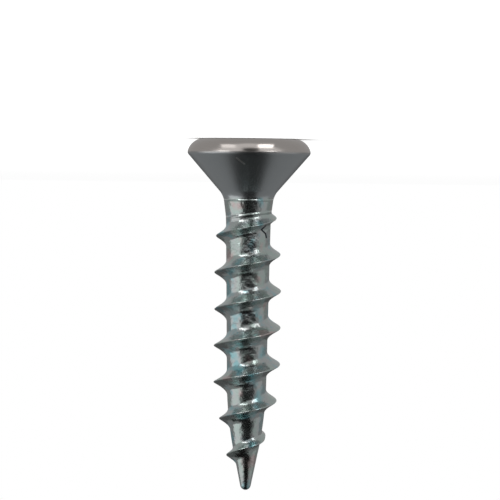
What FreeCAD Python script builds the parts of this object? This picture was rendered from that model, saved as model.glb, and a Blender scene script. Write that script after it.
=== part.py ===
import FreeCAD, Part
import math
import os
import sys

import Sketcher
from FreeCAD import Vector

# Drawer slide screw, number 6 by 3/4 inch: countersunk flat head with a number 2 cross recess,
# a short bare neck, one coarse right-hand thread and a cut point. One cold-headed, thread-rolled piece.
# The screw stands on its head: origin at the middle of the head's flat face, +Z towards the point.

# Driving dimensions, in millimetres and degrees
SIZES = {
    "overall_length": 19.05,
    "head_diameter": 6.72,
    "head_face_diameter": 5.2,
    "rim_depth": 0.72,
    "rim_crown_radius": 0.91,
    "rim_rounding": 0.2,
    "head_angle": 82.0,
    "head_fillet": 1.0,
    "neck_top_diameter": 2.76,
    "neck_length": 1.25,
    "core_top_diameter": 2.43,
    "core_low_diameter": 2.07,
    "point_angle": 23.0,
    "point_blend_radius": 20.0,
    "point_tip_radius": 0.23,
    "thread_diameter": 3.6,
    "thread_pitch": 1.985,
    "thread_lead_up": 0.955,
    "thread_bare_point": 1.0,
    "thread_run_in": 3.0,
    "thread_run_out": 0.9,
    "thread_flank_angle": 54.0,
    "thread_crest_width": 0.09,
    "thread_foot_angle": 100.0,
    "thread_root_splay": 0.1,
    "recess_across": 4.1,
    "recess_wing_width": 0.74,
    "recess_wing_taper": 26.5,
    "recess_wing_depth": 1.8,
    "recess_bottom_slope": 28.0,
    "recess_flute_across": 1.47,
    "recess_flute_taper": 5.75,
}

# Places along the screw that follow from the sizes, as expressions of the sheet
HEAD_END = "sizes.rim_depth + (sizes.head_diameter - sizes.neck_top_diameter) / 2 / tan(sizes.head_angle / 2)"
NECK_END = f"{HEAD_END} + sizes.neck_length"
TIP_CENTRE = "sizes.overall_length - sizes.point_tip_radius"
POINT_APEX = f"{TIP_CENTRE} + sizes.point_tip_radius / sin(sizes.point_angle / 2)"
POINT_START = f"{POINT_APEX} - sizes.core_low_diameter / 2 / tan(sizes.point_angle / 2)"
RECESS_WING_FOOT = "sizes.recess_across / 2 - sizes.recess_wing_depth * tan(sizes.recess_wing_taper)"
RECESS_DEPTH = f"sizes.recess_wing_depth + ({RECESS_WING_FOOT}) * tan(sizes.recess_bottom_slope)"

# How finely the thread's turns are followed, how deep its ridge is rooted in the core, and how far
# below the surface it starts and ends
STRETCHES_PER_TURN = 2
SECTIONS_PER_STRETCH = 12
RIDGE_ROOTING = 0.15
LEAST_RIDGE = 0.03

# How flat and how near to its height a ring-shaped edge must lie to be the one that is rounded
LEVEL_TOLERANCE = 1e-6
HEIGHT_TOLERANCE = 1e-4


def make_sheet(doc):
    """The spreadsheet that holds the driving dimensions."""
    sheet = doc.addObject("Spreadsheet::Sheet", "sizes")
    for row, (name, value) in enumerate(SIZES.items(), start=1):
        sheet.set(f"A{row}", name)
        sheet.set(f"B{row}", str(value))
        sheet.setAlias(f"B{row}", name)
    doc.recompute()
    return sheet


def number(owner, expression):
    """The value of an expression of the sheet, as a plain number."""
    value = owner.evalExpression(expression)
    return float(getattr(value, "Value", value))


def sketch_on(body, name, role):
    """A new sketch lying flat on one of the body's own origin planes."""
    sketch = body.newObject("Sketcher::SketchObject", name)
    plane = next(item for item in body.Origin.OriginFeatures if item.Role == role)
    sketch.AttachmentSupport = [(plane, "")]
    sketch.MapMode = "FlatFace"
    return sketch


def bind_point(sketch, edge, name, across, up):
    """Ties an edge's start point to the sheet by its two expressions, or to an axis where one is None."""
    here = sketch.getPoint(edge, 1)
    for kind, axis, side, place, expression in (
        ("DistanceX", -2, "across", here.x, across),
        ("DistanceY", -1, "up", here.y, up),
    ):
        if expression is None:
            sketch.addConstraint(Sketcher.Constraint("PointOnObject", edge, 1, axis))
        else:
            index = sketch.addConstraint(Sketcher.Constraint(kind, -1, 1, edge, 1, place))
            sketch.renameConstraint(index, f"{name}_{side}")
            sketch.setExpression(f"Constraints.{name}_{side}", expression)


def draw_outline(sketch, corners, arcs=None):
    """Draws a closed outline and binds it to the sheet.

    corners is a list of (name, across, up) with an expression each, or None on that axis. arcs gives, by the
    corner where it starts, an arc's radius expression; each such arc bulges to the right of its way.
    """
    arcs = arcs or {}
    places = [
        Vector(number(sketch, across or "0"), number(sketch, up or "0"), 0) for _, across, up in corners
    ]
    for index, (name, _, _) in enumerate(corners):
        start, end = places[index], places[(index + 1) % len(places)]
        if name in arcs:
            radius = number(sketch, arcs[name])
            half_chord = (end - start) * 0.5
            outward = Vector(half_chord.y, -half_chord.x, 0).normalize()
            sagitta = radius - math.sqrt(radius**2 - half_chord.Length**2)
            crown = start + half_chord + outward * sagitta
            sketch.addGeometry(Part.Arc(start, crown, end))
        else:
            sketch.addGeometry(Part.LineSegment(start, end))
    for index in range(len(corners)):
        following = (index + 1) % len(corners)
        sketch.addConstraint(Sketcher.Constraint("Coincident", index, 2, following, 1))
    for index, (name, across, up) in enumerate(corners):
        bind_point(sketch, index, name, across, up)
        if name in arcs:
            added = sketch.addConstraint(Sketcher.Constraint("Radius", index, number(sketch, arcs[name])))
            sketch.renameConstraint(added, f"{name}_radius")
            sketch.setExpression(f"Constraints.{name}_radius", arcs[name])


def add_fillet(body, name, base, level, radius):
    """Rounds the ring-shaped edge of the base feature that lies level at a height along the screw."""
    body.Document.recompute()
    height = number(base, level)
    rings = [
        f"Edge{index}"
        for index, edge in enumerate(base.Shape.Edges, start=1)
        if edge.BoundBox.ZLength < LEVEL_TOLERANCE and abs(edge.BoundBox.ZMin - height) < HEIGHT_TOLERANCE
    ]
    fillet = body.newObject("PartDesign::Fillet", name)
    fillet.Base = (base, rings)
    fillet.setExpression("Radius", radius)
    return fillet


def turn_blank(body):
    """The turned blank: head, neck, tapered core and point, with the corners between them rounded."""
    profile = sketch_on(body, "blank_profile", "XZ_Plane")
    half_angle = "sizes.point_angle / 2"
    draw_outline(
        profile,
        [
            ("face_centre", None, None),
            ("face_edge", "sizes.head_face_diameter / 2", None),
            ("rim", "sizes.head_diameter / 2", "sizes.rim_depth"),
            ("neck_top", "sizes.neck_top_diameter / 2", HEAD_END),
            ("core_top", "sizes.core_top_diameter / 2", NECK_END),
            ("point_start", "sizes.core_low_diameter / 2", POINT_START),
            (
                "tip_edge",
                f"sizes.point_tip_radius * cos({half_angle})",
                f"{TIP_CENTRE} + sizes.point_tip_radius * sin({half_angle})",
            ),
            ("tip", None, "sizes.overall_length"),
        ],
        arcs={"face_edge": "sizes.rim_crown_radius", "tip_edge": "sizes.point_tip_radius"},
    )
    blank = body.newObject("PartDesign::Revolution", "blank")
    blank.Profile = profile
    blank.ReferenceAxis = (profile, ["V_Axis"])
    blank.Angle = 360
    rim = add_fillet(body, "rim_rounding", blank, "sizes.rim_depth", "sizes.rim_rounding")
    under = add_fillet(body, "under_head_fillet", rim, HEAD_END, "sizes.head_fillet")
    return add_fillet(body, "point_blend", under, POINT_START, "sizes.point_blend_radius")


def cut_recess(body):
    """The number 2 cross recess: four wings that narrow to a conical bottom, and the flutes between them."""
    wing_profile = sketch_on(body, "wing_profile", "XZ_Plane")
    draw_outline(
        wing_profile,
        [
            ("wing_centre", None, None),
            ("wing_mouth", "sizes.recess_across / 2", None),
            ("wing_foot", RECESS_WING_FOOT, "sizes.recess_wing_depth"),
            ("wing_bottom", None, RECESS_DEPTH),
        ],
    )
    wing = body.newObject("PartDesign::Pocket", "recess_wing")
    wing.Profile = wing_profile
    wing.SideType = "Symmetric"
    wing.setExpression("Length", "sizes.recess_wing_width")
    cross = body.newObject("PartDesign::PolarPattern", "recess_wings")
    cross.Originals = [wing]
    cross.Axis = (next(item for item in body.Origin.OriginFeatures if item.Role == "Z_Axis"), [""])
    cross.Angle = 360
    cross.Occurrences = 4
    body.Tip = cross

    square = sketch_on(body, "flute_square", "XY_Plane")
    reach = "sizes.recess_flute_across / sqrt(2)"
    far = number(square, reach)
    corners = [Vector(far, 0, 0), Vector(0, far, 0), Vector(-far, 0, 0), Vector(0, -far, 0)]
    for index in range(4):
        square.addGeometry(Part.LineSegment(corners[index], corners[(index + 1) % 4]))
    for index in range(4):
        square.addConstraint(Sketcher.Constraint("Coincident", index, 2, (index + 1) % 4, 1))
    bind_point(square, 0, "flute_right", reach, None)
    bind_point(square, 1, "flute_top", None, reach)
    square.addConstraint(Sketcher.Constraint("Symmetric", 0, 1, 2, 1, -1, 1))
    square.addConstraint(Sketcher.Constraint("Symmetric", 1, 1, 3, 1, -1, 1))
    flutes = body.newObject("PartDesign::Pocket", "recess_flutes")
    flutes.Profile = square
    flutes.Reversed = True
    flutes.setExpression("Length", "sizes.recess_wing_depth")
    flutes.setExpression("TaperAngle", "-sizes.recess_flute_taper")
    body.Tip = flutes
    return flutes


class Thread:
    """The thread's ridge, worked out from the sheet: where its crest and its root lie along the screw."""

    def __init__(self, sheet):
        self.pitch = sheet.thread_pitch
        self.full = sheet.thread_diameter / 2
        self.flank = math.radians(sheet.thread_flank_angle / 2)
        self.crest_half = sheet.thread_crest_width / 2
        self.root_splay = sheet.thread_root_splay
        self.foot = math.radians(sheet.thread_foot_angle / 2)
        self.run_in, self.run_out = sheet.thread_run_in, sheet.thread_run_out
        self.neck_end = number(sheet, NECK_END)
        self.start = self.neck_end - sheet.thread_lead_up
        self.end = sheet.overall_length - sheet.thread_bare_point
        self.core_top, self.core_low = sheet.core_top_diameter / 2, sheet.core_low_diameter / 2
        self.point_start = number(sheet, POINT_START)
        self.point_slope = math.tan(math.radians(sheet.point_angle / 2))
        self.core_slope = (self.core_top - self.core_low) / (self.point_start - self.neck_end)
        self.neck_slope = (sheet.neck_top_diameter / 2 - self.core_top) / sheet.neck_length
        self.blend = sheet.point_blend_radius
        turn = math.atan(self.point_slope) - math.atan(self.core_slope)
        self.blend_reach = self.blend * math.tan(turn / 2)

    def root(self, z):
        """The blank's radius at a height: neck, tapered core, blend and point."""
        if z < self.neck_end:
            return self.core_top + (self.neck_end - z) * self.neck_slope
        blend_start = self.point_start - self.blend_reach
        core = self.core_top - (z - self.neck_end) * self.core_slope
        if z < blend_start:
            return core
        if z < self.point_start + self.blend_reach:
            return core - (z - blend_start) ** 2 / (2 * self.blend)
        return self.core_low - (z - self.point_start) * self.point_slope

    def crest(self, z):
        """The crest's radius at a height: it swells out of the neck, runs full, and dies into the point."""
        taper_start = self.point_start - self.blend_reach
        radius = self.full - max(0.0, z - taper_start) * self.point_slope
        rising = max(0.0, 1 - (z - self.start) / self.run_in)
        radius -= (self.full - self.root(self.start) + LEAST_RIDGE) * rising**2
        dying = max(0.0, 1 - (self.end - z) / self.run_out)
        return radius - (radius - self.root(z) + LEAST_RIDGE) * dying**2

    def section(self, z):
        """The ridge's closed section in the plane of the axis: crest, flanks and splayed, rooted feet."""
        crest = self.crest(z)
        root = min(self.root(z), crest - LEAST_RIDGE)
        height = crest - root
        splay = self.root_splay * min(1.0, height / (self.full - self.core_top))
        foot = root + splay, self.crest_half + (height - splay) * math.tan(self.flank)
        base = root - RIDGE_ROOTING, foot[1] + (splay + RIDGE_ROOTING) * math.tan(self.foot)
        crest_corner = crest, self.crest_half
        turned = 2 * math.pi * (z - self.start) / self.pitch
        outline = [(corner, -1) for corner in (base, foot, crest_corner)]
        outline += [(corner, 1) for corner in (crest_corner, foot, base)]
        spots = [
            Vector(radius * math.cos(turned), radius * math.sin(turned), z + side * half)
            for (radius, half), side in outline
        ]
        return Part.makePolygon(spots + spots[:1])

    def ridge(self):
        """The whole ridge, lofted through its sections in short stretches and closed at both ends."""
        stretches = math.ceil((self.end - self.start) / self.pitch * STRETCHES_PER_TURN)
        steps = stretches * SECTIONS_PER_STRETCH
        rise = (self.end - self.start) / steps
        sections = [self.section(self.start + rise * step) for step in range(steps + 1)]
        faces = []
        for first in range(0, steps, SECTIONS_PER_STRETCH):
            faces += Part.makeLoft(sections[first : first + SECTIONS_PER_STRETCH + 1], False, False).Faces
        faces += [Part.Face(sections[0]), Part.Face(sections[-1])]
        shell = Part.makeShell(faces)
        shell.sewShape()
        solid = Part.makeSolid(shell)
        if solid.Volume < 0:
            solid.reverse()
        return solid


def build(doc):
    """The finished screw: the headed and recessed blank with the rolled thread."""
    sheet = make_sheet(doc)
    blank = doc.addObject("PartDesign::Body", "screw_blank")
    turn_blank(blank)
    cut_recess(blank)
    doc.recompute()
    ridge = doc.addObject("Part::Feature", "thread_ridge")
    ridge.Shape = Thread(sheet).ridge()
    screw = doc.addObject("Part::Fuse", "screw")
    screw.Base, screw.Tool = blank, ridge
    screw.Refine = False
    screw.Label = "drawer_slide_screw"
    doc.recompute()
    return [screw]


def check(doc, parts):
    """Stops if any object failed or a finished part isn't one valid solid."""
    failed = [item.Name for item in doc.Objects if {"Invalid", "Error"} & set(item.State)]
    if failed:
        sys.exit(f"failed objects: {failed}")
    for part in parts:
        shape = part.Shape
        if shape.isNull() or not shape.isValid() or len(shape.Solids) != 1:
            sys.exit(f"{part.Label}: null, not valid or not one solid")


def export(parts):
    """Writes each finished part to its own file and says how large it is."""
    os.makedirs("parts", exist_ok=True)
    for part in parts:
        shape = part.Shape
        shape.exportStep(f"parts/{part.Label}.step")
        box = shape.BoundBox
        print(
            f"{part.Label}: {box.XLength:.3f} x {box.YLength:.3f} x {box.ZLength:.3f} mm,"
            f" volume {shape.Volume:.3f} mm3, {len(shape.Faces)} faces"
        )


document = FreeCAD.newDocument("drawer_slide_screw")
finished = build(document)
check(document, finished)
export(finished)
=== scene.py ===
"""A drawer slide screw, number 6 by 3/4 inch: zinc-plated steel, countersunk head, coarse thread.

The screw stands on its head at the origin with its point up. Sizes are in millimetres until the
finished mesh is brought down to metres.
"""

import logging
import math
from dataclasses import dataclass, field
from enum import Enum

import bpy
import numpy as np
from mathutils import Euler, Matrix, Vector

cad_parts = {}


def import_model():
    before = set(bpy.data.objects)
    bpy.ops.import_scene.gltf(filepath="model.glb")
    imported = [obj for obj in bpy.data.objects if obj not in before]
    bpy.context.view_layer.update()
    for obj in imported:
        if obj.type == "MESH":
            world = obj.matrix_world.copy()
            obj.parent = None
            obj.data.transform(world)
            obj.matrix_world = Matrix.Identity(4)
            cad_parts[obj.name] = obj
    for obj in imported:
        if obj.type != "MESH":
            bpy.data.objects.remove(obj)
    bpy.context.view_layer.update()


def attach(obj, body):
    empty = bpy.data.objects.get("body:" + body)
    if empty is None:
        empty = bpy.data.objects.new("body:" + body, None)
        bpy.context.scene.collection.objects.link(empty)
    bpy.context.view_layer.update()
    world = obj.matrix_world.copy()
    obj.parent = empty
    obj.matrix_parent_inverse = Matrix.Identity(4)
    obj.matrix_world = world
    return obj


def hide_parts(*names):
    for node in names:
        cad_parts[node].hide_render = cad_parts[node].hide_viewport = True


LOG = logging.getLogger("drawer_slide_screw")
NODE = "drawer_slide_screw"
METRES_PER_MM = 0.001
# Vertices nearer to each other than this are welded, and a cut this near a vertex goes through it.
WELD_MM = 1e-4
CUT_MM = 1e-5
# Fall of the neck's radius per millimetre of height, on the head's side and on the shank's.
NECK_SLOPE = 0.132

Corner = tuple[float, float]
Colour = tuple[float, float, float]


class Tone(Enum):
    """How bright a thing round the screw shows in the metal, from black to a bright lamp."""

    BLACK = 0.01
    DIM = 0.1
    WALL = 0.27
    TABLE = 0.45
    FRONT = 0.85
    BRIGHT = 0.9
    GLOW = 1.5
    LAMP = 3.2


def deselect_everything() -> None:
    """Leaves no object selected, so that an operator acts on nothing by accident."""
    if bpy.context.object and bpy.context.object.mode != "OBJECT":
        bpy.ops.object.mode_set(mode="OBJECT")
    bpy.ops.object.select_all(action="DESELECT")


def take_in_hand(piece: bpy.types.Object) -> None:
    """Makes a piece the only selected and active object.

    Args:
        piece: The object that the next operators act on.
    """
    deselect_everything()
    piece.select_set(True)
    bpy.context.view_layer.objects.active = piece


def apply_modifier(piece: bpy.types.Object, modifier: bpy.types.Modifier) -> None:
    """Applies one modifier of a piece, so that its result is the piece's own mesh.

    Args:
        piece: The object that carries the modifier.
        modifier: The modifier to apply.
    """
    take_in_hand(piece)
    bpy.ops.object.modifier_apply(modifier=modifier.name)


def draw_wire(name: str, corners: list[Corner]) -> bpy.types.Object:
    """Draws an open wire in the plane of the screw's axis, one vertex extruded from the last.

    Args:
        name: The new object's name.
        corners: Radius and height of each vertex, in millimetres.

    Returns:
        The wire as a mesh object with no faces.
    """
    deselect_everything()
    bpy.ops.mesh.primitive_plane_add(size=1.0, location=(0.0, 0.0, 0.0))
    wire = bpy.context.object
    wire.name = name
    bpy.ops.object.mode_set(mode="EDIT")
    bpy.ops.mesh.select_all(action="SELECT")
    bpy.ops.mesh.merge(type="CENTER")
    first = corners[0]
    bpy.ops.transform.translate(value=(first[0], 0.0, first[1]))
    for start, end in zip(corners, corners[1:]):
        step = (end[0] - start[0], 0.0, end[1] - start[1])
        bpy.ops.mesh.extrude_vertices_move(TRANSFORM_OT_translate={"value": step})
    bpy.ops.object.mode_set(mode="OBJECT")
    return wire


def arc_corners(centre: Corner, radius: float, start: float, end: float, count: int) -> list[Corner]:
    """Corners along an arc in the plane of the axis.

    Args:
        centre: The arc's centre, as radius and height.
        radius: The arc's radius.
        start: Angle of the first corner from the outward direction towards +Z, in degrees.
        end: Angle of the last corner, in degrees.
        count: How many corners, both ends included.

    Returns:
        The corners from start to end.
    """
    angles = [math.radians(start + (end - start) * step / (count - 1)) for step in range(count)]
    return [(centre[0] + radius * math.cos(a), centre[1] + radius * math.sin(a)) for a in angles]


def smooth_larger(first: np.ndarray, second: np.ndarray, width: float) -> np.ndarray:
    """The larger of two heights with a fillet where they meet.

    Args:
        first: Heights of one surface.
        second: Heights of the other.
        width: Over how large a difference the fillet runs.

    Returns:
        The blended height for each pair.
    """
    share = np.clip(0.5 + 0.5 * (first - second) / width, 0.0, 1.0)
    return second + (first - second) * share + width * share * (1.0 - share)


@dataclass(frozen=True)
class Mark:
    """A fine line painted into the plating's colour on the side the camera sees, the dark one as painted
    shade.

    It is a line through corners, each given as X and height in millimetres.
    """

    corners: tuple[Corner, ...]
    half_width: float
    colour: Colour


@dataclass(frozen=True)
class Bead:
    """A fine raised ring left by rolling, in millimetres; tilt is its rise per millimetre of X."""

    height: float
    tilt: float
    half_width: float
    rise: float


@dataclass(frozen=True)
class ZincPlate:
    """Bright zinc plating with the thin blue-green to pink cast of its passivation.

    The head is evenly satin and cool, its rim warmer. The rolled shank is shinier and uneven, in patches of
    teal, green and a pinkish brown.
    """

    cool: Colour = (0.46, 0.49, 0.505)
    warm: Colour = (0.51, 0.475, 0.45)
    teal: Colour = (0.28, 0.53, 0.57)
    neutral: Colour = (0.50, 0.52, 0.52)
    green: Colour = (0.46, 0.55, 0.52)
    blush: Colour = (0.54, 0.47, 0.46)
    # The noise's value at which each of the last four colours stands alone.
    teal_at: float = 0.34
    neutral_at: float = 0.47
    green_at: float = 0.58
    blush_at: float = 0.68
    colour_patches_per_mm: float = 0.9
    rim_height: float = 0.75
    rim_blend: float = 0.1
    neck_height: float = 3.2
    neck_blend: float = 0.15
    satin_roughness: float = 0.32
    shine_roughness: float = 0.15
    dull_roughness: float = 0.3
    dull_patches_per_mm: float = 1.7
    waves_per_mm: float = 2.6
    wave_height: float = 0.042
    marks: tuple[Mark, ...] = (
        # Painted shade: a near-black line along a fold that rolling left in the shank, standing in for the
        # shade in its crease.
        Mark(
            corners=((-0.936, 4.68), (-0.708, 4.89), (-0.936, 5.11), (-0.98, 5.32)),
            half_width=0.04,
            colour=(0.02, 0.03, 0.035),
        ),
        Mark(corners=((0.66, 1.06), (0.24, 1.38)), half_width=0.05, colour=(0.8, 0.8, 0.8)),
    )
    beads: tuple[Bead, ...] = (
        Bead(height=3.32, tilt=0.0, half_width=0.07, rise=0.022),
        Bead(height=4.11, tilt=0.13, half_width=0.11, rise=0.025),
    )

    def material(self) -> bpy.types.Material:
        """Builds the plating's material on object coordinates.

        Returns:
            The material.
        """
        material = bpy.data.materials.new("zinc_plate")
        material.use_nodes = True
        tree = material.node_tree
        shader = tree.nodes["Principled BSDF"]
        shader.inputs["Metallic"].default_value = 1.0
        place = tree.nodes.new("ShaderNodeTexCoord")
        in_mm = tree.nodes.new("ShaderNodeVectorMath")
        in_mm.operation = "SCALE"
        in_mm.inputs["Scale"].default_value = 1.0 / METRES_PER_MM
        tree.links.new(place.outputs["Object"], in_mm.inputs[0])
        where = in_mm.outputs["Vector"]
        axes = tree.nodes.new("ShaderNodeSeparateXYZ")
        tree.links.new(where, axes.inputs["Vector"])
        height = axes.outputs["Z"]

        rolled = self._step(tree, height, self.neck_height, self.neck_blend)
        colour = self._colour(tree, where, height, rolled)
        # The marks are painted into the base colour; the near-black one is painted shade.
        for mark in self.marks:
            colour = self._blend(tree, self._near(tree, axes, mark), colour, mark.colour)
        tree.links.new(colour, shader.inputs["Base Color"])

        patches = self._noise(tree, where, scale=self.dull_patches_per_mm, detail=2.0)
        shank_roughness = self._range(tree, patches, self.shine_roughness, self.dull_roughness)
        roughness = tree.nodes.new("ShaderNodeMix")
        roughness.inputs["A"].default_value = self.satin_roughness
        tree.links.new(rolled, roughness.inputs["Factor"])
        tree.links.new(shank_roughness, roughness.inputs["B"])
        tree.links.new(roughness.outputs["Result"], shader.inputs["Roughness"])

        waves = self._noise(tree, where, scale=self.waves_per_mm, detail=3.0)
        relief = self._math(tree, "MULTIPLY", waves, rolled)
        for bead in self.beads:
            relief = self._raise(tree, axes, bead, relief)
        bump = tree.nodes.new("ShaderNodeBump")
        bump.inputs["Distance"].default_value = self.wave_height * METRES_PER_MM
        tree.links.new(relief, bump.inputs["Height"])
        tree.links.new(bump.outputs["Normal"], shader.inputs["Normal"])
        return material

    def _colour(
        self,
        tree: bpy.types.NodeTree,
        where: bpy.types.NodeSocket,
        height: bpy.types.NodeSocket,
        rolled: bpy.types.NodeSocket,
    ) -> bpy.types.NodeSocket:
        """Mixes the plating's cast from the head's and the shank's.

        Args:
            tree: The material's node tree.
            where: The place in millimetres.
            height: The place's height along the screw.
            rolled: 0 on the head, 1 on the rolled shank.

        Returns:
            The colour's socket.
        """
        rim = self._step(tree, height, self.rim_height, -self.rim_blend)
        head = self._blend(tree, rim, self.cool, self.warm)
        patches = self._noise(tree, where, scale=self.colour_patches_per_mm, detail=3.0)
        ramp_node = tree.nodes.new("ShaderNodeValToRGB")
        ramp = ramp_node.color_ramp
        first, last = ramp.elements
        first.position, first.color = self.teal_at, (*self.teal, 1.0)
        last.position, last.color = self.blush_at, (*self.blush, 1.0)
        for position, colour in ((self.neutral_at, self.neutral), (self.green_at, self.green)):
            ramp.elements.new(position).color = (*colour, 1.0)
        tree.links.new(patches, ramp_node.inputs["Fac"])
        return self._blend(tree, rolled, head, ramp_node.outputs["Color"])

    def _raise(
        self, tree: bpy.types.NodeTree, axes: bpy.types.Node, bead: Bead, relief: bpy.types.NodeSocket
    ) -> bpy.types.NodeSocket:
        """Adds a bead to the relief.

        Args:
            tree: The material's node tree.
            axes: The place as separate X, Y and Z.
            bead: The bead.
            relief: The relief so far, in parts of the waves' height.

        Returns:
            The new relief's socket.
        """
        lean = self._math(tree, "MULTIPLY", axes.outputs["X"], bead.tilt)
        level = self._math(tree, "SUBTRACT", axes.outputs["Z"], lean)
        away = self._math(tree, "ABSOLUTE", self._math(tree, "SUBTRACT", level, bead.height))
        flank_middle = bead.half_width / 2
        top = self._step(tree, away, flank_middle, -flank_middle)
        rise = self._math(tree, "MULTIPLY", top, bead.rise / self.wave_height)
        return self._math(tree, "ADD", relief, rise)

    def _near(self, tree: bpy.types.NodeTree, axes: bpy.types.Node, mark: Mark) -> bpy.types.NodeSocket:
        """Finds where a place lies on a mark.

        Args:
            tree: The material's node tree.
            axes: The place as separate X, Y and Z.
            mark: The mark.

        Returns:
            1 on the mark and 0 away from it, as a socket.
        """
        nearest = None
        for start, end in zip(mark.corners, mark.corners[1:]):
            run = (end[0] - start[0], end[1] - start[1])
            square = run[0] ** 2 + run[1] ** 2
            x = self._math(tree, "SUBTRACT", axes.outputs["X"], start[0])
            z = self._math(tree, "SUBTRACT", axes.outputs["Z"], start[1])
            along_x = self._math(tree, "MULTIPLY", x, run[0] / square)
            along = self._math(tree, "MULTIPLY_ADD", z, run[1] / square, along_x)
            along.node.use_clamp = True
            off_x = self._math(tree, "MULTIPLY_ADD", along, -run[0], x)
            off_z = self._math(tree, "MULTIPLY_ADD", along, -run[1], z)
            squared_x = self._math(tree, "MULTIPLY", off_x, off_x)
            distance = self._math(tree, "SQRT", self._math(tree, "MULTIPLY_ADD", off_z, off_z, squared_x))
            nearest = distance if nearest is None else self._math(tree, "MINIMUM", nearest, distance)
        soft_edge = mark.half_width / 3
        on_line = self._step(tree, nearest, mark.half_width, -soft_edge)
        in_front = self._math(tree, "LESS_THAN", axes.outputs["Y"], 0.0)
        return self._math(tree, "MULTIPLY", on_line, in_front)

    @staticmethod
    def _math(
        tree: bpy.types.NodeTree, operation: str, *terms: bpy.types.NodeSocket | float
    ) -> bpy.types.NodeSocket:
        """Adds one step of arithmetic.

        Args:
            tree: The material's node tree.
            operation: What to do, in Blender's name for it.
            terms: The values or sockets it works on.

        Returns:
            The result's socket.
        """
        node = tree.nodes.new("ShaderNodeMath")
        node.operation = operation
        for entry, term in zip(node.inputs, terms):
            if isinstance(term, float):
                entry.default_value = term
            else:
                tree.links.new(term, entry)
        return node.outputs[0]

    @staticmethod
    def _blend(
        tree: bpy.types.NodeTree,
        share: bpy.types.NodeSocket,
        first: bpy.types.NodeSocket | Colour,
        second: bpy.types.NodeSocket | Colour,
    ) -> bpy.types.NodeSocket:
        """Mixes two colours.

        Args:
            tree: The material's node tree.
            share: How much of the second colour there is.
            first: One colour, as a socket or as red, green and blue.
            second: The other.

        Returns:
            The mixed colour's socket.
        """
        mix = tree.nodes.new("ShaderNodeMix")
        mix.data_type = "RGBA"
        tree.links.new(share, mix.inputs["Factor"])
        colour_inputs = [entry for entry in mix.inputs if entry.type == "RGBA"]
        for entry, colour in zip(colour_inputs, (first, second)):
            if isinstance(colour, tuple):
                entry.default_value = (*colour, 1.0)
            else:
                tree.links.new(colour, entry)
        return next(result for result in mix.outputs if result.type == "RGBA")

    @staticmethod
    def _step(
        tree: bpy.types.NodeTree, value: bpy.types.NodeSocket, edge: float, width: float
    ) -> bpy.types.NodeSocket:
        """A soft step from 0 to 1 where a value passes an edge.

        Args:
            tree: The material's node tree.
            value: The value.
            edge: Where the step's middle is.
            width: Half its width, negative to step down instead of up.

        Returns:
            The step's socket.
        """
        step = tree.nodes.new("ShaderNodeMapRange")
        step.interpolation_type = "SMOOTHSTEP"
        step.inputs["From Min"].default_value = edge - width
        step.inputs["From Max"].default_value = edge + width
        tree.links.new(value, step.inputs["Value"])
        return step.outputs["Result"]

    @staticmethod
    def _range(
        tree: bpy.types.NodeTree, value: bpy.types.NodeSocket, low: float, high: float
    ) -> bpy.types.NodeSocket:
        """Stretches a value from 0 and 1 to a low and a high one.

        Args:
            tree: The material's node tree.
            value: The value.
            low: What 0 becomes.
            high: What 1 becomes.

        Returns:
            The stretched value's socket.
        """
        stretch = tree.nodes.new("ShaderNodeMapRange")
        stretch.inputs["To Min"].default_value = low
        stretch.inputs["To Max"].default_value = high
        tree.links.new(value, stretch.inputs["Value"])
        return stretch.outputs["Result"]

    @staticmethod
    def _noise(
        tree: bpy.types.NodeTree, where: bpy.types.NodeSocket, scale: float, detail: float
    ) -> bpy.types.NodeSocket:
        """Adds a noise texture.

        Args:
            tree: The material's node tree.
            where: The place in millimetres.
            scale: Features per millimetre.
            detail: Octaves of finer detail.

        Returns:
            The noise's socket, around one half.
        """
        noise = tree.nodes.new("ShaderNodeTexNoise")
        noise.inputs["Scale"].default_value = scale
        noise.inputs["Detail"].default_value = detail
        tree.links.new(where, noise.inputs["Vector"])
        return noise.outputs["Fac"]


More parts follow.
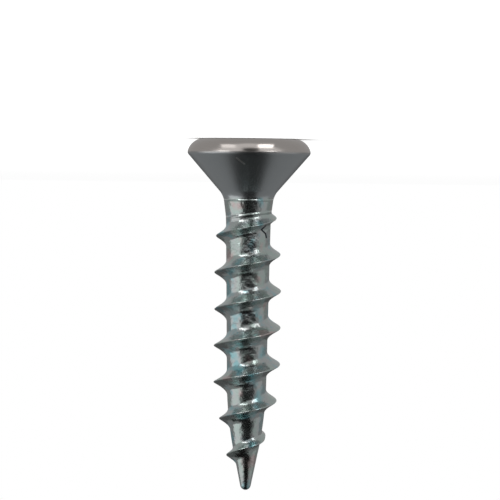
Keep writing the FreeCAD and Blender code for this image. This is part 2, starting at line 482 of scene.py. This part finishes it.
@dataclass
class CountersunkHead:
    """The head and bare neck: flat face with a cross recess, crowned rim, 82 degree cone.

    Angles are in degrees. ring_height is where the neck's open end waits for the shank.
    """

    face_radius: float = 2.6
    rim_radius: float = 3.325
    rim_depth: float = 0.65
    crown_radius: float = 0.91
    edge_rounding: float = 0.24
    cone_half_angle: float = 41.0
    fillet_radius: float = 1.1
    neck_top_radius: float = 1.396
    neck_slope: float = NECK_SLOPE
    ring_height: float = 3.41
    segments: int = 144
    face_steps: int = 6
    crown_corners: int = 14
    edge_corners: int = 9
    cone_steps: int = 10
    fillet_corners: int = 13
    recess_across: float = 4.1
    wing_width: float = 0.74
    wing_taper: float = 26.5
    wing_depth: float = 1.8
    bottom_slope: float = 28.0
    flute_reach: float = 1.04
    flute_taper: float = 5.75
    mouth_roll: float = 0.05
    # Depth, growth of a wing's length and half width, and growth of the flutes for each ring of the
    # mouth's rolled lip, all counted in mouth_roll.
    mouth_rings: tuple[tuple[float, float, float, float], ...] = (
        (-1.0, 2.0, 2.0, 3.0),
        (0.0, 1.0, 1.0, 1.5),
        (1.0, 0.2, 0.25, 0.4),
        (2.0, 0.0, 0.0, 0.0),
    )

    def cone_end(self) -> float:
        """Works out where the cone would meet the neck with no fillet.

        Returns:
            The height.
        """
        drop = (self.rim_radius - self.neck_top_radius) / math.tan(math.radians(self.cone_half_angle))
        return self.rim_depth + drop

    def profile(self) -> list[Corner]:
        """Works out the head's outline from the middle of the face to the neck.

        Returns:
            Radius and height of each corner, in millimetres.
        """
        chord = Vector((self.rim_radius - self.face_radius, self.rim_depth))
        middle = Vector((self.face_radius, 0.0)) + chord / 2
        inward = Vector((-chord.y, chord.x)).normalized()
        centre = middle + inward * math.sqrt(self.crown_radius**2 - (chord.length / 2) ** 2)
        first = math.degrees(math.atan2(-centre.y, self.face_radius - centre.x))
        last = math.degrees(math.atan2(self.rim_depth - centre.y, self.rim_radius - centre.x))
        to_rim = Vector((math.cos(math.radians(last)), math.sin(math.radians(last))))
        edge_centre = centre + to_rim * (self.crown_radius - self.edge_rounding)
        corners = [(step * self.face_radius / self.face_steps, 0.0) for step in range(self.face_steps)]
        corners += arc_corners(tuple(centre), self.crown_radius, first, last, self.crown_corners)
        edge = arc_corners(
            tuple(edge_centre), self.edge_rounding, last, self.cone_half_angle, self.edge_corners
        )
        corners += edge[1:]
        cone_start = Vector(corners[-1])
        slope = math.tan(math.radians(self.cone_half_angle))
        neck_angle = math.degrees(math.atan(self.neck_slope))
        under = arc_corners(
            self._fillet_centre(cone_start, slope),
            self.fillet_radius,
            180.0 + self.cone_half_angle,
            180.0 + neck_angle,
            self.fillet_corners,
        )
        cone_foot = Vector(under[0])
        for step in range(1, self.cone_steps):
            corners.append(tuple(cone_start.lerp(cone_foot, step / self.cone_steps)))
        corners += under
        neck_foot = Vector(under[-1])
        ring_radius = neck_foot.x - (self.ring_height - neck_foot.y) * self.neck_slope
        corners += [(ring_radius, self.ring_height)]
        return corners

    def _fillet_centre(self, cone_start: Vector, slope: float) -> Corner:
        """Finds the centre of the fillet that touches both the cone and the neck.

        Args:
            cone_start: A corner on the cone's line.
            slope: The cone's fall of radius per unit of height.

        Returns:
            The centre, as radius and height.
        """
        cone_lift = self.fillet_radius * math.sqrt(1 + slope**2)
        neck_lift = self.fillet_radius * math.sqrt(1 + self.neck_slope**2)
        cone_at_zero = cone_start.x + cone_start.y * slope + cone_lift
        neck_at_zero = self.neck_top_radius + self.cone_end() * self.neck_slope + neck_lift
        height = (cone_at_zero - neck_at_zero) / (slope - self.neck_slope)
        return cone_at_zero - height * slope, height

    def build(self) -> bpy.types.Object:
        """Spins the head and cuts its recess.

        Returns:
            The head, open where the shank joins it.
        """
        head = draw_wire("screw_head", self.profile())
        take_in_hand(head)
        bpy.ops.object.mode_set(mode="EDIT")
        bpy.ops.mesh.select_all(action="SELECT")
        bpy.ops.mesh.spin(steps=self.segments, angle=2 * math.pi, center=(0, 0, 0), axis=(0, 0, 1))
        bpy.ops.mesh.select_all(action="SELECT")
        bpy.ops.mesh.remove_doubles(threshold=WELD_MM)
        bpy.ops.mesh.normals_make_consistent(inside=False)
        bpy.ops.object.mode_set(mode="OBJECT")
        cutter = self.recess_cutter()
        cut = head.modifiers.new("recess", "BOOLEAN")
        cut.operation, cut.solver, cut.object = "DIFFERENCE", "EXACT", cutter
        apply_modifier(head, cut)
        bpy.data.objects.remove(cutter)
        LOG.info("head: %d faces", len(head.data.polygons))
        return head

    def cross_outline(self, reach: float, half_width: float, flute: float) -> list[Corner]:
        """The recess's outline at one depth: four wings with the flutes across the corners between them.

        Args:
            reach: How far each wing runs from the middle.
            half_width: Half of a wing's width.
            flute: Where the flutes' sides would meet the axes.

        Returns:
            Sixteen corners, counter-clockwise.
        """
        corner = max(flute - half_width, half_width)
        quarter = [(reach, -half_width), (reach, half_width), (corner, half_width), (half_width, corner)]
        corners = []
        for quadrant in range(4):
            turn = Matrix.Rotation(quadrant * math.pi / 2, 2)
            corners += [tuple(turn @ Vector(point)) for point in quarter]
        return corners

    def recess_cutter(self) -> bpy.types.Object:
        """Models the solid that the recess takes out, level by level from above the face to its bottom.

        Returns:
            The cutter.
        """
        reach, half = self.recess_across / 2, self.wing_width / 2
        foot = reach - self.wing_depth * math.tan(math.radians(self.wing_taper))
        narrow = self.wing_depth * math.tan(math.radians(self.flute_taper)) * math.sqrt(2)
        bottom = self.wing_depth + foot * math.tan(math.radians(self.bottom_slope))
        roll = self.mouth_roll
        levels = [
            (depth * roll, reach + longer * roll, half + wider * roll, self.flute_reach + fuller * roll)
            for depth, longer, wider, fuller in self.mouth_rings
        ]
        levels.append((self.wing_depth, foot, half, self.flute_reach - narrow))
        corner_count = len(self.cross_outline(reach, half, self.flute_reach))
        deselect_everything()
        bpy.ops.mesh.primitive_circle_add(vertices=corner_count, radius=1.0, fill_type="NGON")
        cutter = bpy.context.object
        cutter.name = "recess_cutter"
        for number, (depth, *sizes) in enumerate(levels):
            if number:
                bpy.ops.object.mode_set(mode="EDIT")
                bpy.ops.mesh.extrude_region_move()
                bpy.ops.object.mode_set(mode="OBJECT")
            lifted = [vertex for vertex in cutter.data.vertices if vertex.select]
            for vertex, (x, y) in zip(lifted, self.cross_outline(*sizes)):
                vertex.co = (x, y, depth)
        bpy.ops.object.mode_set(mode="EDIT")
        bpy.ops.mesh.extrude_region_move()
        bpy.ops.mesh.merge(type="CENTER")
        bpy.ops.object.mode_set(mode="OBJECT")
        for vertex in cutter.data.vertices:
            if vertex.select:
                vertex.co = (0.0, 0.0, bottom)
        bpy.ops.object.mode_set(mode="EDIT")
        bpy.ops.mesh.select_all(action="SELECT")
        bpy.ops.mesh.normals_make_consistent(inside=False)
        bpy.ops.object.mode_set(mode="OBJECT")
        return cutter


@dataclass(frozen=True)
class Nick:
    """A dent in the thread's crest, or a swelling where its depth is negative.

    turn counts turns from where the thread starts, width is along the crest in turns.
    """

    turn: float
    depth: float
    width: float


@dataclass
class ThreadedShank:
    """The core, its rolled thread and the point.

    The thread rises to its full height over run_in from its start and sinks over run_out to its end. Past
    both it sinks on under the core, for sink_limit run lengths in all. Angles are in degrees.
    """

    pitch: float = 1.985
    start: float = 3.27
    end: float = 18.05
    full_radius: float = 1.79
    core_top: float = 1.215
    core_low: float = 1.035
    neck_end: float = 4.25
    neck_slope: float = NECK_SLOPE
    neck_blend: float = 0.03
    point_half_angle: float = 11.5
    point_blend_radius: float = 20.0
    tip_radius: float = 0.29
    tip_trim: float = 0.002
    length: float = 19.05
    flank_half_angle: float = 22.0
    crest_edge: float = 0.035
    root_fillet: float = 0.92
    least_fillet: float = 0.12
    taper_start: float = 13.2
    taper: float = 0.19
    run_in: float = 3.0
    run_out: float = 0.9
    sink_limit: float = 1.35
    sunk: float = 0.05
    # The shank is left bare up to this many pitches before the thread's start.
    bare_from: float = 0.6
    ring_height: float = 3.46
    turn_steps: int = 120
    turns: int = 10
    # Where the section has its vertices: heights above the crest's own, then even steps down the flank,
    # then even steps to the middle of the root.
    crest_steps: tuple[float, ...] = (0.0, 0.015, 0.03, 0.048, 0.07, 0.1)
    flank_step: float = 0.04
    flank_steps: int = 16
    root_steps: int = 4
    nicks: list[Nick] = field(
        default_factory=lambda: [
            Nick(turn=6.5, depth=0.19, width=0.1),
            Nick(turn=6.0, depth=-0.03, width=0.1),
            Nick(turn=2.97, depth=0.05, width=0.03),
            Nick(turn=1.5, depth=0.06, width=0.15),
        ]
    )

    def section_steps(self) -> list[float]:
        """Heights across one pitch about the crest, close together where the section bends.

        Returns:
            The heights, from half a pitch below the crest to half a pitch above it.
        """
        crest = list(self.crest_steps)
        flank = [crest[-1] + self.flank_step * step for step in range(1, self.flank_steps + 1)]
        rest = self.pitch / 2 - flank[-1]
        root = [flank[-1] + rest * step / self.root_steps for step in range(1, self.root_steps + 1)]
        above = crest + flank + root
        return [-height for height in reversed(above[1:])] + above

    def core_radius(self, height: np.ndarray) -> np.ndarray:
        """The blank's radius along the shank: neck, tapered core, blend, point and round tip.

        Args:
            height: Heights along the screw.

        Returns:
            The radius at each.
        """
        half = math.radians(self.point_half_angle)
        tip_centre = self.length - self.tip_radius
        apex = tip_centre + self.tip_radius / math.sin(half)
        point_start = apex - self.core_low / math.tan(half)
        slope = (self.core_top - self.core_low) / (point_start - self.neck_end)
        core = self.core_top - (height - self.neck_end) * slope
        reach = self.point_blend_radius * math.tan((half - math.atan(slope)) / 2)
        into_blend = np.clip(height - (point_start - reach), 0.0, 2 * reach)
        blended = core - into_blend**2 / (2 * self.point_blend_radius)
        cone = (apex - height) * math.tan(half)
        radius = np.where(height > point_start + reach, cone, blended)
        neck = self.core_top + (self.neck_end - height) * self.neck_slope
        radius = smooth_larger(radius, neck, self.neck_blend)
        tip_edge = tip_centre + self.tip_radius * math.sin(half)
        cap_squared = np.clip(self.tip_radius**2 - (height - tip_centre) ** 2, WELD_MM**2, None)
        return np.where(height > tip_edge, np.sqrt(cap_squared), radius)

    def crest_radius(self, height: np.ndarray) -> np.ndarray:
        """The crest's radius along the shank, with the nicks that handling left in it.

        Args:
            height: Heights along the screw, at the crest.

        Returns:
            The radius at each, under the core's surface where there is no thread.
        """
        radius = self.full_radius - np.clip(height - self.taper_start, 0.0, None) * self.taper
        turn = (height - self.start) / self.pitch
        for nick in self.nicks:
            radius = radius - nick.depth * np.exp(-(((turn - nick.turn) / nick.width) ** 2))
        root = self.core_radius(height)
        rising = np.clip(1 - (height - self.start) / self.run_in, 0.0, self.sink_limit)
        radius = radius - (self.full_radius - root + self.sunk) * rising**2
        dying = np.clip(1 - (self.end - height) / self.run_out, 0.0, self.sink_limit)
        return radius - (radius - root + self.sunk) * dying**2

    def build(self) -> bpy.types.Object:
        """Winds one pitch of the section into the full thread, rolls it to shape and trims both ends.

        Returns:
            The shank, open where it joins the head.
        """
        first_crest = self.start - self.pitch
        section = [(self.full_radius, first_crest + step) for step in self.section_steps()]
        shank = draw_wire("screw_shank", section)
        winding = shank.modifiers.new("turns", "SCREW")
        winding.axis, winding.screw_offset, winding.iterations = "Z", self.pitch, self.turns
        winding.steps = winding.render_steps = self.turn_steps
        winding.use_merge_vertices, winding.merge_threshold = True, WELD_MM
        apply_modifier(shank, winding)
        bpy.ops.object.mode_set(mode="EDIT")
        bpy.ops.mesh.select_all(action="SELECT")
        bpy.ops.mesh.remove_doubles(threshold=WELD_MM)
        bpy.ops.object.mode_set(mode="OBJECT")
        self.roll(shank)
        self.trim(shank, height=self.length - self.tip_trim, keep_below=True)
        self.trim(shank, height=self.ring_height, keep_below=False)
        LOG.info("shank: %d faces", len(shank.data.polygons))
        return shank

    def roll(self, shank: bpy.types.Object) -> None:
        """Presses every vertex to the thread's true radius.

        Args:
            shank: The wound grid.
        """
        flat = np.zeros(len(shank.data.vertices) * 3)
        shank.data.vertices.foreach_get("co", flat)
        places = flat.reshape(-1, 3)
        height = places[:, 2]
        turned = np.arctan2(places[:, 1], places[:, 0]) / (2 * math.pi)
        along = (height - self.start) / self.pitch - turned
        off_crest = (along - np.round(along)) * self.pitch
        crest_height = height - off_crest
        fall = 1.0 / math.tan(math.radians(self.flank_half_angle))
        ridge = self.crest_radius(crest_height) - fall * (
            np.sqrt(off_crest**2 + self.crest_edge**2) - self.crest_edge
        )
        core = self.core_radius(height)
        standing = self.crest_radius(crest_height) - self.core_radius(crest_height)
        share = np.clip(standing / (self.full_radius - self.core_top), self.least_fillet, 1.0)
        radius = smooth_larger(ridge, core, self.root_fillet * share)
        past_end = height > self.end + self.pitch / 2
        before_start = crest_height < self.start - self.pitch * self.bare_from
        bare = past_end | before_start
        radius = np.where(bare, core, radius)
        angle = 2 * math.pi * turned
        places[:, 0] = radius * np.cos(angle)
        places[:, 1] = radius * np.sin(angle)
        shank.data.vertices.foreach_set("co", places.ravel())
        shank.data.update()

    @staticmethod
    def trim(shank: bpy.types.Object, height: float, keep_below: bool) -> None:
        """Cuts the shank off level at a height.

        Args:
            shank: The rolled shank.
            height: Where to cut.
            keep_below: True to keep what lies under the cut and close it, False to keep what lies above.
        """
        take_in_hand(shank)
        bpy.ops.object.mode_set(mode="EDIT")
        bpy.ops.mesh.select_all(action="SELECT")
        bpy.ops.mesh.bisect(
            plane_co=(0, 0, height),
            plane_no=(0, 0, 1),
            use_fill=keep_below,
            clear_outer=keep_below,
            clear_inner=not keep_below,
            threshold=CUT_MM,
        )
        bpy.ops.object.mode_set(mode="OBJECT")


@dataclass
class SlideScrew:
    """The whole screw as one piece of plated steel."""

    head: CountersunkHead = field(default_factory=CountersunkHead)
    shank: ThreadedShank = field(default_factory=ThreadedShank)
    finish: ZincPlate = field(default_factory=ZincPlate)
    smooth_angle: float = 38.0

    def build(self) -> bpy.types.Object:
        """Makes head and shank, bridges them at the neck and plates the result.

        Returns:
            The finished screw, in metres.
        """
        head = self.head.build()
        shank = self.shank.build()
        take_in_hand(shank)
        head.select_set(True)
        bpy.context.view_layer.objects.active = head
        bpy.ops.object.join()
        screw = bpy.context.object
        screw.name = screw.data.name = "plated_screw"
        self.bridge_neck(screw)
        screw.data.transform(Matrix.Scale(METRES_PER_MM, 4))
        take_in_hand(screw)
        bpy.ops.object.shade_smooth_by_angle(angle=math.radians(self.smooth_angle))
        screw.data.materials.clear()
        screw.data.materials.append(self.finish.material())
        LOG.info("screw: %d vertices, %d faces", len(screw.data.vertices), len(screw.data.polygons))
        return screw

    def bridge_neck(self, screw: bpy.types.Object) -> None:
        """Joins the open ring of the head to the open ring of the shank a little above it.

        The rings don't share one height, because the bridge takes its direction from the way between them.

        Args:
            screw: The joined mesh with the two rings.
        """
        take_in_hand(screw)
        bpy.ops.object.mode_set(mode="EDIT")
        bpy.ops.mesh.select_mode(type="EDGE")
        bpy.ops.mesh.select_all(action="DESELECT")
        bpy.ops.mesh.select_non_manifold(
            extend=False, use_wire=False, use_boundary=True, use_multi_face=False,
            use_non_contiguous=False, use_verts=False,
        )
        bpy.ops.mesh.bridge_edge_loops()
        bpy.ops.mesh.select_all(action="SELECT")
        bpy.ops.mesh.normals_make_consistent(inside=False)
        bpy.ops.mesh.select_mode(type="VERT")
        bpy.ops.object.mode_set(mode="OBJECT")


@dataclass(frozen=True)
class Card:
    """A flat card as seen from the middle of the screw.

    azimuth, elevation, width and height are angles in degrees. azimuth is counted from the camera towards
    the right of the picture, elevation towards the point. distance is in millimetres.
    """

    name: str
    azimuth: float
    elevation: float
    width: float
    height: float
    distance: float
    tone: Tone


@dataclass(frozen=True)
class Wedge:
    """A flat wedge on the table that starts by the rim and widens outwards, in millimetres and degrees."""

    name: str
    start_azimuth: float
    start_radius: float
    azimuth: float
    length: float
    start_width: float
    end_width: float
    lift: float
    tone: Tone


@dataclass
class Studio:
    """The pale floor, the cards and lamps round the screw, and the camera."""

    scale_mm_per_px: float = 0.0542
    picture_px: int = 500
    camera_distance: float = 150.0
    camera_height: float = 2.4
    head_px: float = 139.0
    axis_px: float = 248.05
    lean_deg: float = 0.64
    floor_size: float = 20000.0
    floor_white: float = 0.98
    floor_roughness: float = 0.9
    tent_radius: float = 400.0
    tent_segments: int = 48
    table_lift: float = 0.02
    middle_height: float = 9.0
    lamp_place: tuple[float, float, float] = (120.0, -160.0, 260.0)
    lamp_size: float = 200.0
    lamp_watts: float = 0.35
    cards: list[Card] = field(
        default_factory=lambda: [
            Card(
                name="slot_front",
                azimuth=8.0, elevation=6.0, width=76.0, height=44.0,
                distance=300.0, tone=Tone.BLACK,
            ),
            Card(
                name="slot_rising",
                azimuth=6.0, elevation=45.0, width=50.0, height=66.0,
                distance=300.0, tone=Tone.BLACK,
            ),
            Card(
                name="slot_top",
                azimuth=4.0, elevation=86.0, width=46.0, height=60.0,
                distance=290.0, tone=Tone.BLACK,
            ),
            Card(
                name="wall_left",
                azimuth=-70.0, elevation=10.0, width=62.0, height=50.0,
                distance=280.0, tone=Tone.BRIGHT,
            ),
            Card(
                name="dim_behind",
                azimuth=180.0, elevation=30.0, width=44.0, height=62.0,
                distance=300.0, tone=Tone.DIM,
            ),
            Card(
                name="wall_right",
                azimuth=82.0, elevation=8.0, width=44.0, height=40.0,
                distance=280.0, tone=Tone.TABLE,
            ),
        ]
    )
    wedges: list[Wedge] = field(
        default_factory=lambda: [
            Wedge(
                name="table_front",
                start_azimuth=0.0, start_radius=3.15, azimuth=0.0, length=9.0,
                start_width=6.0, end_width=16.0, lift=0.03, tone=Tone.FRONT,
            ),
            Wedge(
                name="slot_foot",
                start_azimuth=2.0, start_radius=3.7, azimuth=2.0, length=9.0,
                start_width=1.2, end_width=5.0, lift=0.035, tone=Tone.BLACK,
            ),
            Wedge(
                name="rim_lamp_left",
                start_azimuth=-23.0, start_radius=3.25, azimuth=-23.0, length=0.45,
                start_width=1.0, end_width=1.0, lift=0.04, tone=Tone.GLOW,
            ),
            Wedge(
                name="rim_lamp_right",
                start_azimuth=18.0, start_radius=3.22, azimuth=18.0, length=0.4,
                start_width=1.0, end_width=1.0, lift=0.04, tone=Tone.LAMP,
            ),
            Wedge(
                name="wedge_left",
                start_azimuth=-35.0, start_radius=5.5, azimuth=-48.0, length=50.0,
                start_width=1.8, end_width=14.0, lift=0.04, tone=Tone.LAMP,
            ),
            Wedge(
                name="wedge_right",
                start_azimuth=30.0, start_radius=5.5, azimuth=40.0, length=50.0,
                start_width=1.4, end_width=10.0, lift=0.04, tone=Tone.LAMP,
            ),
        ]
    )

    def build(self) -> None:
        """Sets up everything that isn't the screw."""
        bpy.context.scene.view_settings.view_transform = "Standard"
        self.world()
        self.floor()
        self.tent()
        for card in self.cards:
            self.hang(card)
        for wedge in self.wedges:
            self.lay(wedge)
        self.lamp()
        self.camera()
        LOG.info("studio: floor, tent, lamp, %d cards and %d wedges", len(self.cards), len(self.wedges))

    def world(self) -> None:
        """White surroundings that light everything evenly."""
        world = bpy.data.worlds.new("studio_white")
        bpy.context.scene.world = world
        world.use_nodes = True
        background = world.node_tree.nodes["Background"]
        background.inputs["Color"].default_value = (1.0, 1.0, 1.0, 1.0)
        background.inputs["Strength"].default_value = 1.0

    def floor(self) -> None:
        """A pale floor that shows white to the eye and still takes the screw's shadow."""
        deselect_everything()
        bpy.ops.mesh.primitive_grid_add(
            x_subdivisions=8, y_subdivisions=8, size=self.floor_size * METRES_PER_MM
        )
        floor = bpy.context.object
        floor.name = "floor"
        material = bpy.data.materials.new("pale_floor")
        material.use_nodes = True
        shader = material.node_tree.nodes["Principled BSDF"]
        white = (self.floor_white, self.floor_white, self.floor_white, 1.0)
        shader.inputs["Base Color"].default_value = white
        shader.inputs["Roughness"].default_value = self.floor_roughness
        shader.inputs["Specular IOR Level"].default_value = 0.0
        floor.data.materials.append(material)

    def hang(self, card: Card) -> None:
        """Hangs a card that faces the screw and only shows in the metal.

        Args:
            card: Where it hangs, how large it looks from the screw and how bright it is.
        """
        azimuth, elevation = math.radians(card.azimuth), math.radians(card.elevation)
        outward = Vector(
            (
                -math.sin(azimuth) * math.cos(elevation),
                -math.cos(azimuth) * math.cos(elevation),
                math.sin(elevation),
            )
        )
        width = 2 * card.distance * math.tan(math.radians(card.width / 2))
        height = 2 * card.distance * math.tan(math.radians(card.height / 2))
        deselect_everything()
        bpy.ops.mesh.primitive_grid_add(x_subdivisions=2, y_subdivisions=2, size=1.0)
        sheet = bpy.context.object
        sheet.name = card.name
        turn = outward.to_track_quat("Z", "Y").to_matrix().to_4x4()
        middle = outward * card.distance + Vector((0.0, 0.0, self.middle_height))
        sheet.data.transform(
            Matrix.Scale(METRES_PER_MM, 4)
            @ Matrix.Translation(middle)
            @ turn
            @ Matrix.Diagonal((width, height, 1.0, 1.0))
        )
        self.light_up(sheet, card.tone)

    def lay(self, wedge: Wedge) -> None:
        """Lays a wedge on the table that only shows in the metal.

        Args:
            wedge: Where it starts at the rim, which way it runs and how it widens.
        """
        start_angle, run_angle = math.radians(wedge.start_azimuth), math.radians(wedge.azimuth)
        start = Vector((-math.sin(start_angle), -math.cos(start_angle), 0.0)) * wedge.start_radius
        along = Vector((-math.sin(run_angle), -math.cos(run_angle), 0.0))
        across = Vector((along.y, -along.x, 0.0))
        deselect_everything()
        bpy.ops.mesh.primitive_grid_add(x_subdivisions=8, y_subdivisions=2, size=1.0)
        sheet = bpy.context.object
        sheet.name = wedge.name
        for vertex in sheet.data.vertices:
            share, side = vertex.co.x + 0.5, vertex.co.y
            width = wedge.start_width + (wedge.end_width - wedge.start_width) * share
            place = start + along * wedge.length * share + across * side * width
            vertex.co = (place + Vector((0.0, 0.0, wedge.lift))) * METRES_PER_MM
        self.light_up(sheet, wedge.tone)

    def tent(self) -> None:
        """A plain round tent and table top that close off what the metal sees beyond the cards."""
        deselect_everything()
        bpy.ops.mesh.primitive_uv_sphere_add(
            segments=self.tent_segments, ring_count=self.tent_segments // 2, radius=self.tent_radius
        )
        tent = bpy.context.object
        tent.name = "tent"
        tent.data.transform(Matrix.Scale(METRES_PER_MM, 4))
        self.light_up(tent, Tone.WALL)
        deselect_everything()
        bpy.ops.mesh.primitive_circle_add(
            vertices=self.tent_segments, radius=self.tent_radius, fill_type="TRIFAN"
        )
        table = bpy.context.object
        table.name = "table_card"
        table.data.transform(
            Matrix.Scale(METRES_PER_MM, 4) @ Matrix.Translation((0.0, 0.0, self.table_lift))
        )
        self.light_up(table, Tone.TABLE)

    @staticmethod
    def light_up(sheet: bpy.types.Object, tone: Tone) -> None:
        """Gives a sheet its brightness and hides it from all but the metal.

        Args:
            sheet: A card, a wedge, the tent or the table top.
            tone: How bright it is.
        """
        material = bpy.data.materials.new(f"{sheet.name}_tone")
        material.use_nodes = True
        tree = material.node_tree
        tree.nodes.remove(tree.nodes["Principled BSDF"])
        glow = tree.nodes.new("ShaderNodeEmission")
        glow.inputs["Strength"].default_value = tone.value
        tree.links.new(glow.outputs["Emission"], tree.nodes["Material Output"].inputs["Surface"])
        sheet.data.materials.append(material)
        sheet.visible_camera = sheet.visible_diffuse = sheet.visible_shadow = False

    def lamp(self) -> None:
        """Adds a soft square lamp that looks at the screw and doesn't mirror in it."""
        light = bpy.data.lights.new("soft_lamp", "AREA")
        light.shape = "SQUARE"
        light.size = self.lamp_size * METRES_PER_MM
        light.energy = self.lamp_watts
        lamp = bpy.data.objects.new("soft_lamp", light)
        bpy.context.scene.collection.objects.link(lamp)
        lamp.visible_glossy = False
        lamp.location = Vector(self.lamp_place) * METRES_PER_MM
        middle = Vector((0.0, 0.0, self.middle_height)) * METRES_PER_MM
        lamp.rotation_euler = (middle - lamp.location).to_track_quat("-Z", "Y").to_euler()

    def camera(self) -> None:
        """Puts the camera low over the table, looking a little up, and turns it over.

        The screw stands on its head, so the turn brings the head to the top of the picture as in the photo.
        lean_deg leans the screw a little in the picture.
        """
        middle_px = self.picture_px / 2
        aim_height = (middle_px - self.head_px) * self.scale_mm_per_px
        aim_across = (self.axis_px - middle_px) * self.scale_mm_per_px
        data = bpy.data.cameras.new("camera")
        data.lens = data.sensor_width * self.camera_distance / (self.picture_px * self.scale_mm_per_px)
        data.clip_start, data.clip_end = 0.001, 10.0
        camera = bpy.data.objects.new("camera", data)
        bpy.context.scene.collection.objects.link(camera)
        camera.location = Vector((aim_across, -self.camera_distance, self.camera_height)) * METRES_PER_MM
        aim = Vector((aim_across, 0.0, aim_height)) * METRES_PER_MM
        look = (aim - camera.location).to_track_quat("-Z", "Y")
        roll = Euler((0.0, 0.0, math.radians(180.0 + self.lean_deg))).to_quaternion()
        camera.rotation_mode = "QUATERNION"
        camera.rotation_quaternion = look @ roll
        bpy.context.scene.camera = camera


def main() -> None:
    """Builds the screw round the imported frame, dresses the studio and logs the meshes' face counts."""
    logging.basicConfig(level=logging.INFO, format="%(name)s: %(message)s")
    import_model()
    screw = SlideScrew().build()
    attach(screw, "root")
    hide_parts(NODE)
    LOG.info("piece %s stands for %s", screw.name, NODE)
    Studio().build()


if __name__ == "__main__":
    main()
